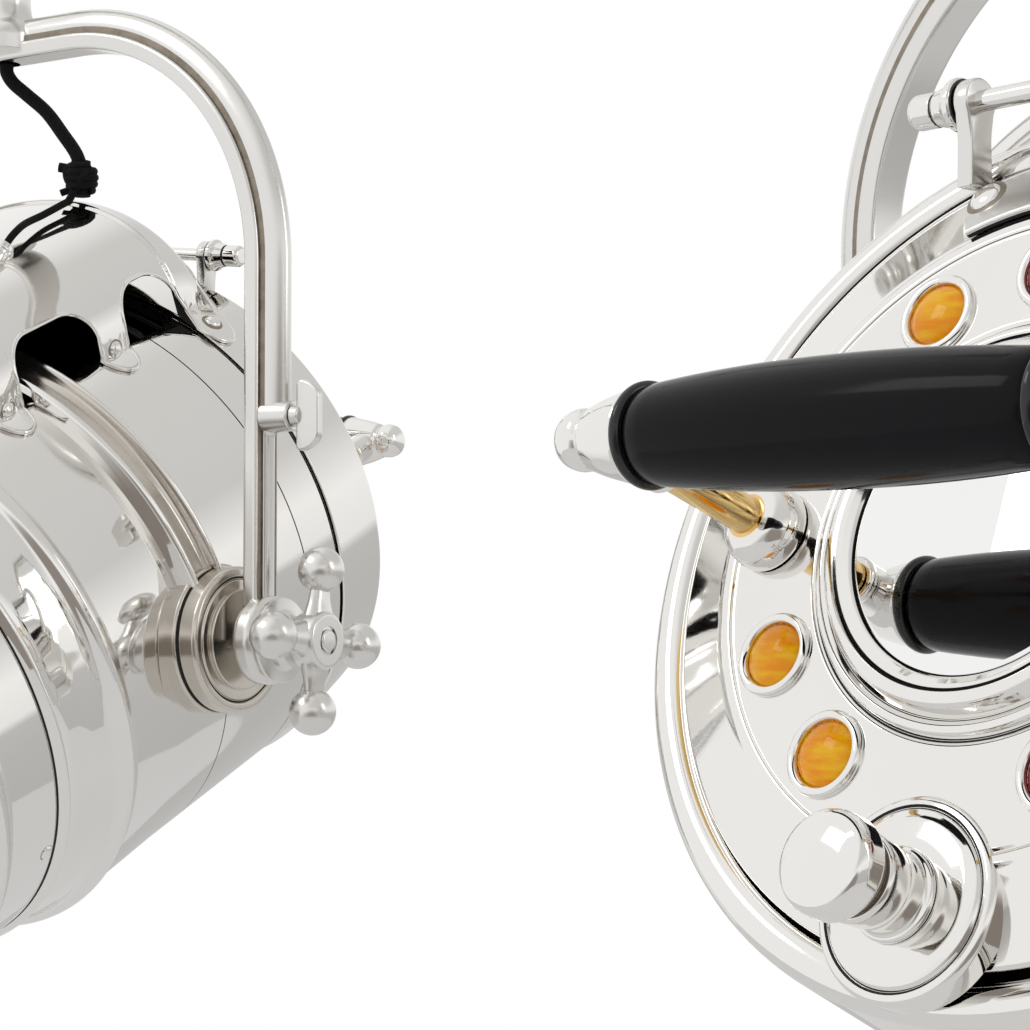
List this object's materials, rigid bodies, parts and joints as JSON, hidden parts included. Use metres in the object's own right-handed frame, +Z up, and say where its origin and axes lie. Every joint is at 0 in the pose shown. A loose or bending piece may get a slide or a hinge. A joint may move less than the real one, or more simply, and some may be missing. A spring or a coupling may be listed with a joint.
{
  "type": "searchlight chandelier",
  "caption": "Ceiling pendant with searchlight heads in polished nickel, each panning and tilting in a round-shouldered yoke on its own arm, with a hinged rear door.",
  "frame": {"origin": "centre of the ceiling plate's flat top", "axes": "+Z up, +X along the cross arms from the higher head to the lower one"},
  "size_m": [1.1924, 0.5045, 0.9547],
  "materials": {
    "polished_steel": "polished nickel plate",
    "polished_shell": "polished nickel plate",
    "plain_brass": "polished",
    "clear_glass": "clear",
    "door_mirror": "bevelled",
    "amber_glass": "faceted",
    "red_glass": "faceted",
    "black_grip": "gloss",
    "white_ceramic": "glazed",
    "black_cord": "matt"
  },
  "bodies": {
    "frame": {"down_rod": "polished_steel", "canopy": "polished_shell", "cross_arm_a": "polished_steel", "cross_arm_b": "polished_steel", "swivel_stem_a": "polished_steel", "swivel_stem_b": "polished_steel"},
    "yoke_body_a": {"yoke_a": "polished_steel", "cord_a": "black_cord"},
    "wing_a": {"wing_screw_a": "polished_steel"},
    "head_a": {"pivot_boss_left_a": "polished_shell", "pivot_boss_right_a": "polished_shell", "drum_a": "polished_shell", "rear_ring_a": "polished_shell", "front_bezel_a": "polished_shell", "lens_glass_a": "clear_glass", "reflector_a": "polished_shell", "lampholder_a": "white_ceramic", "bulb_a": "clear_glass", "hood_a": "polished_shell", "hinge_pin_a": "polished_steel", "cord_lead_a": "black_cord"},
    "knob_left_a": {"clamp_knob_left_a": "polished_steel"},
    "knob_right_a": {"clamp_knob_right_a": "polished_steel"},
    "door_a": {"rear_door_a": "polished_shell", "door_mirror_a": "door_mirror", "amber_jewels_a": "amber_glass", "red_jewels_a": "red_glass", "handle_grip_a": "black_grip", "handle_rod_a": "polished_steel", "handle_post_left_a": "plain_brass", "handle_post_right_a": "plain_brass", "hinge_bracket_a": "polished_steel"},
    "latch_a": {"latch_knob_a": "polished_steel"},
    "yoke_body_b": {"yoke_b": "polished_steel", "cord_b": "black_cord"},
    "wing_b": {"wing_screw_b": "polished_steel"},
    "head_b": {"pivot_boss_left_b": "polished_shell", "pivot_boss_right_b": "polished_shell", "drum_b": "polished_shell", "rear_ring_b": "polished_shell", "front_bezel_b": "polished_shell", "lens_glass_b": "clear_glass", "reflector_b": "polished_shell", "lampholder_b": "white_ceramic", "bulb_b": "clear_glass", "hood_b": "polished_shell", "hinge_pin_b": "polished_steel", "cord_lead_b": "black_cord"},
    "knob_left_b": {"clamp_knob_left_b": "polished_steel"},
    "knob_right_b": {"clamp_knob_right_b": "polished_steel"},
    "door_b": {"rear_door_b": "polished_shell", "door_mirror_b": "door_mirror", "amber_jewels_b": "amber_glass", "red_jewels_b": "red_glass", "handle_grip_b": "black_grip", "handle_rod_b": "polished_steel", "handle_post_left_b": "plain_brass", "handle_post_right_b": "plain_brass", "hinge_bracket_b": "polished_steel"},
    "latch_b": {"latch_knob_b": "polished_steel"}
  },
  "joints": [
    {"name": "pan_a", "type": "hinge", "parent": "frame", "child": "yoke_body_a", "pos_m": [-0.366, 0, -0.3636], "axis": [0, 0, 1], "range_deg": [-170, 170]},
    {"name": "tilt_a", "type": "hinge", "parent": "yoke_body_a", "child": "head_a", "pos_m": [-0.366, 0, -0.7451], "axis": [-0.9857, -0.1685, 0], "range_deg": [0, 50], "deforming": ["cord_lead_a"]},
    {"name": "wing_turn_a", "type": "hinge", "parent": "yoke_body_a", "child": "wing_a", "pos_m": [-0.16709, 0.034, -0.6301], "axis": [0.9857, 0.1685, 0], "continuous": true},
    {"name": "knob_left_turn_a", "type": "hinge", "parent": "head_a", "child": "knob_left_a", "pos_m": [-0.17694, 0.03232, -0.7451], "axis": [0.9857, 0.1685, 0], "continuous": true},
    {"name": "knob_right_turn_a", "type": "hinge", "parent": "head_a", "child": "knob_right_a", "pos_m": [-0.55506, -0.03232, -0.7451], "axis": [-0.9857, -0.1685, 0], "continuous": true},
    {"name": "door_swing_a", "type": "hinge", "parent": "head_a", "child": "door_a", "pos_m": [-0.3659, 0.10087, -0.51954], "axis": [0.9715, 0.2137, -0.103], "range_deg": [0, 100]},
    {"name": "latch_turn_a", "type": "hinge", "parent": "door_a", "child": "latch_a", "pos_m": [-0.40095, 0.20445, -0.76377], "axis": [-0.1533, 0.897, 0.4147], "range_deg": [0, 90]},
    {"name": "pan_b", "type": "hinge", "parent": "frame", "child": "yoke_body_b", "pos_m": [0.366, 0, -0.3969], "axis": [0, 0, 1], "range_deg": [-170, 170]},
    {"name": "tilt_b", "type": "hinge", "parent": "yoke_body_b", "child": "head_b", "pos_m": [0.366, 0, -0.7784], "axis": [0.99, -0.1409, 0], "range_deg": [-2.5, 50], "deforming": ["cord_lead_b"]},
    {"name": "wing_turn_b", "type": "hinge", "parent": "yoke_body_b", "child": "wing_b", "pos_m": [0.16621, 0.02843, -0.6634], "axis": [-0.99, 0.1409, 0], "continuous": true},
    {"name": "knob_left_turn_b", "type": "hinge", "parent": "head_b", "child": "knob_left_b", "pos_m": [0.17611, 0.02703, -0.7784], "axis": [-0.99, 0.1409, 0], "continuous": true},
    {"name": "knob_right_turn_b", "type": "hinge", "parent": "head_b", "child": "knob_right_b", "pos_m": [0.55589, -0.02703, -0.7784], "axis": [0.99, -0.1409, 0], "continuous": true},
    {"name": "door_swing_b", "type": "hinge", "parent": "head_b", "child": "door_b", "pos_m": [0.35051, -0.10885, -0.55706], "axis": [-0.99, 0.1409, 0], "range_deg": [0, 100]},
    {"name": "latch_turn_b", "type": "hinge", "parent": "door_b", "child": "latch_b", "pos_m": [0.33694, -0.2042, -0.80718], "axis": [-0.1309, -0.9199, 0.3697], "range_deg": [0, 90]}
  ]
}
